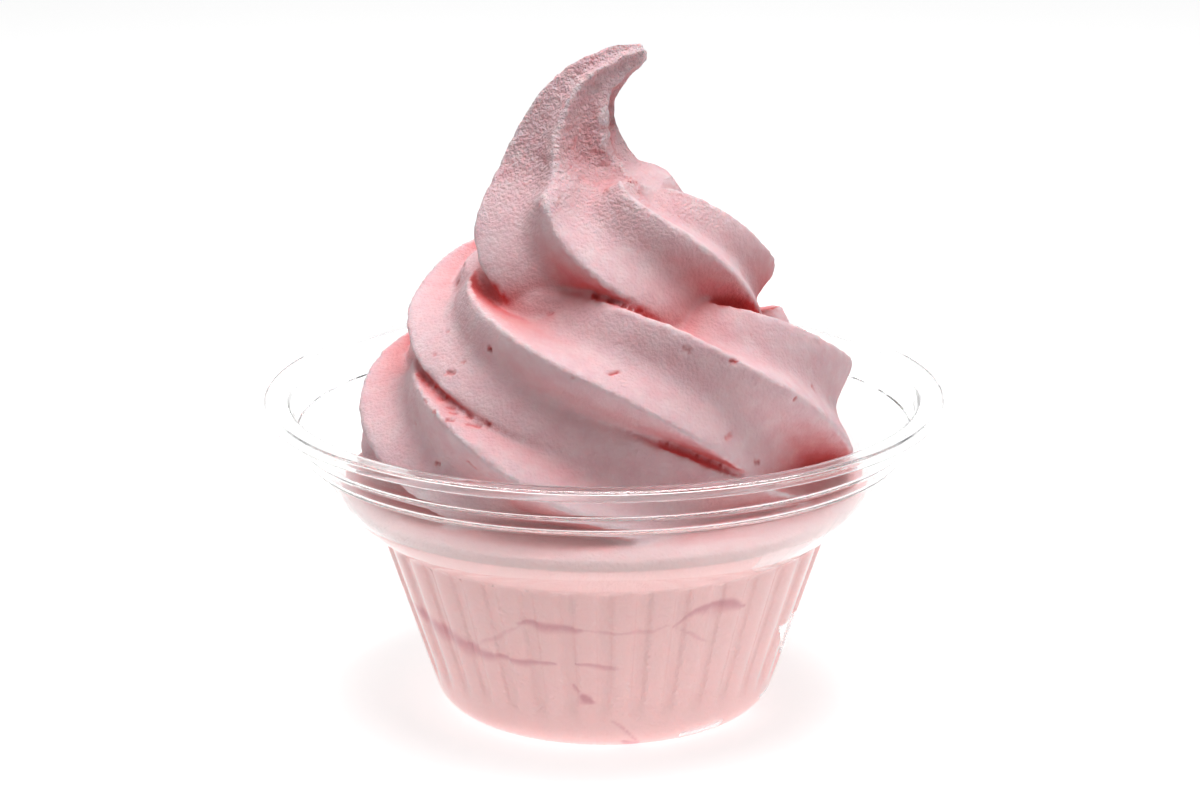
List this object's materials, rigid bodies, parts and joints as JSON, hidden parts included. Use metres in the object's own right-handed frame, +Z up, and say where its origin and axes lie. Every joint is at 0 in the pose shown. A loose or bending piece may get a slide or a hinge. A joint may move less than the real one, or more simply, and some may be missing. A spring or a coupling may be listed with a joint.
{
  "type": "frozen yogurt cup",
  "caption": "Clear plastic dessert cup with a ribbed foot and a flared bowl, filled with one piped swirl of pink soft frozen yogurt that rises to a hooked peak.",
  "frame": {"origin": "middle of the cup's flat underside", "axes": "+Z up; -Y towards the side from which the peak hooks to the right, +X"},
  "size_m": [0.101, 0.101, 0.1009],
  "materials": {
    "clear_plastic": "polished clear thermoformed plastic",
    "pink_yogurt": "matt, fine icy grain, soft strawberry pink"
  },
  "bodies": {
    "root": {"cup": "clear_plastic", "frozen_yogurt": "pink_yogurt"}
  },
  "joints": []
}
